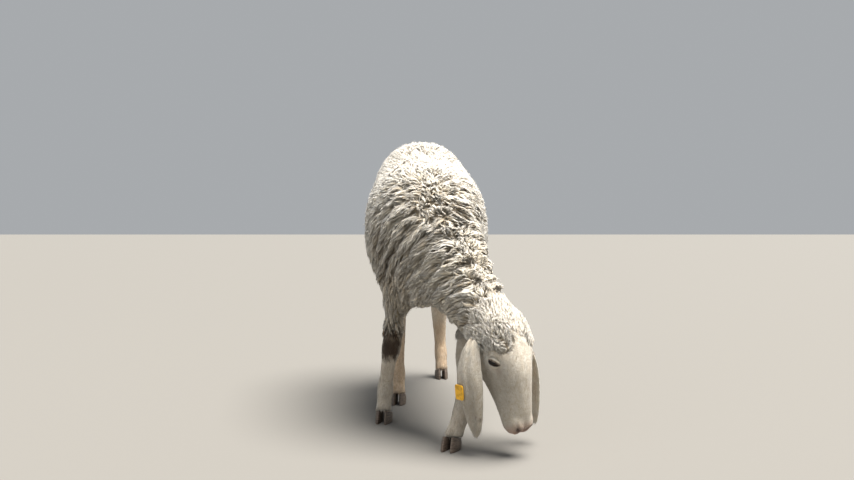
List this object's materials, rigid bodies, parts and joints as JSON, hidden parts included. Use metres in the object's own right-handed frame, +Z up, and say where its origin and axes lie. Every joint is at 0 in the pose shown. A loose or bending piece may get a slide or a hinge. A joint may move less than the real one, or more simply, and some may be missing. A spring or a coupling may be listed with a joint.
{
  "type": "sheep",
  "caption": "Life-size still model of a white lop-eared mountain sheep grazing in mid-step, with medium wool, bare face and legs, and a yellow ear tag.",
  "frame": {"origin": "on the floor, below the middle of the model's bounding box", "axes": "+Z up; the trunk lies along Y with the head at -Y; +X is the animal's left side"},
  "size_m": [0.4134, 0.9062, 0.7297],
  "materials": {
    "fleece": "creamy white wool of medium staple, in wavy locks",
    "short_hair": "short white hair lying flat over pink skin",
    "horn": "dark hoof horn, dull and ringed",
    "eye": "dark brown, wet and glossy",
    "tag_plastic": "yellow flexible plastic, satin"
  },
  "bodies": {
    "root": {"head": "short_hair", "neck": "fleece", "trunk": "fleece", "tail": "fleece", "leg_fore_right": "short_hair", "leg_fore_left": "short_hair", "leg_hind_right": "short_hair", "leg_hind_left": "short_hair", "ear_right": "short_hair", "ear_left": "short_hair", "eye_right": "eye", "eye_left": "eye", "ear_tag_plate": "tag_plastic", "ear_tag_button": "tag_plastic", "claw_fore_right_outer": "horn", "claw_fore_right_inner": "horn", "claw_fore_left_outer": "horn", "claw_fore_left_inner": "horn", "claw_hind_right_outer": "horn", "claw_hind_right_inner": "horn", "claw_hind_left_outer": "horn", "claw_hind_left_inner": "horn"}
  },
  "joints": []
}
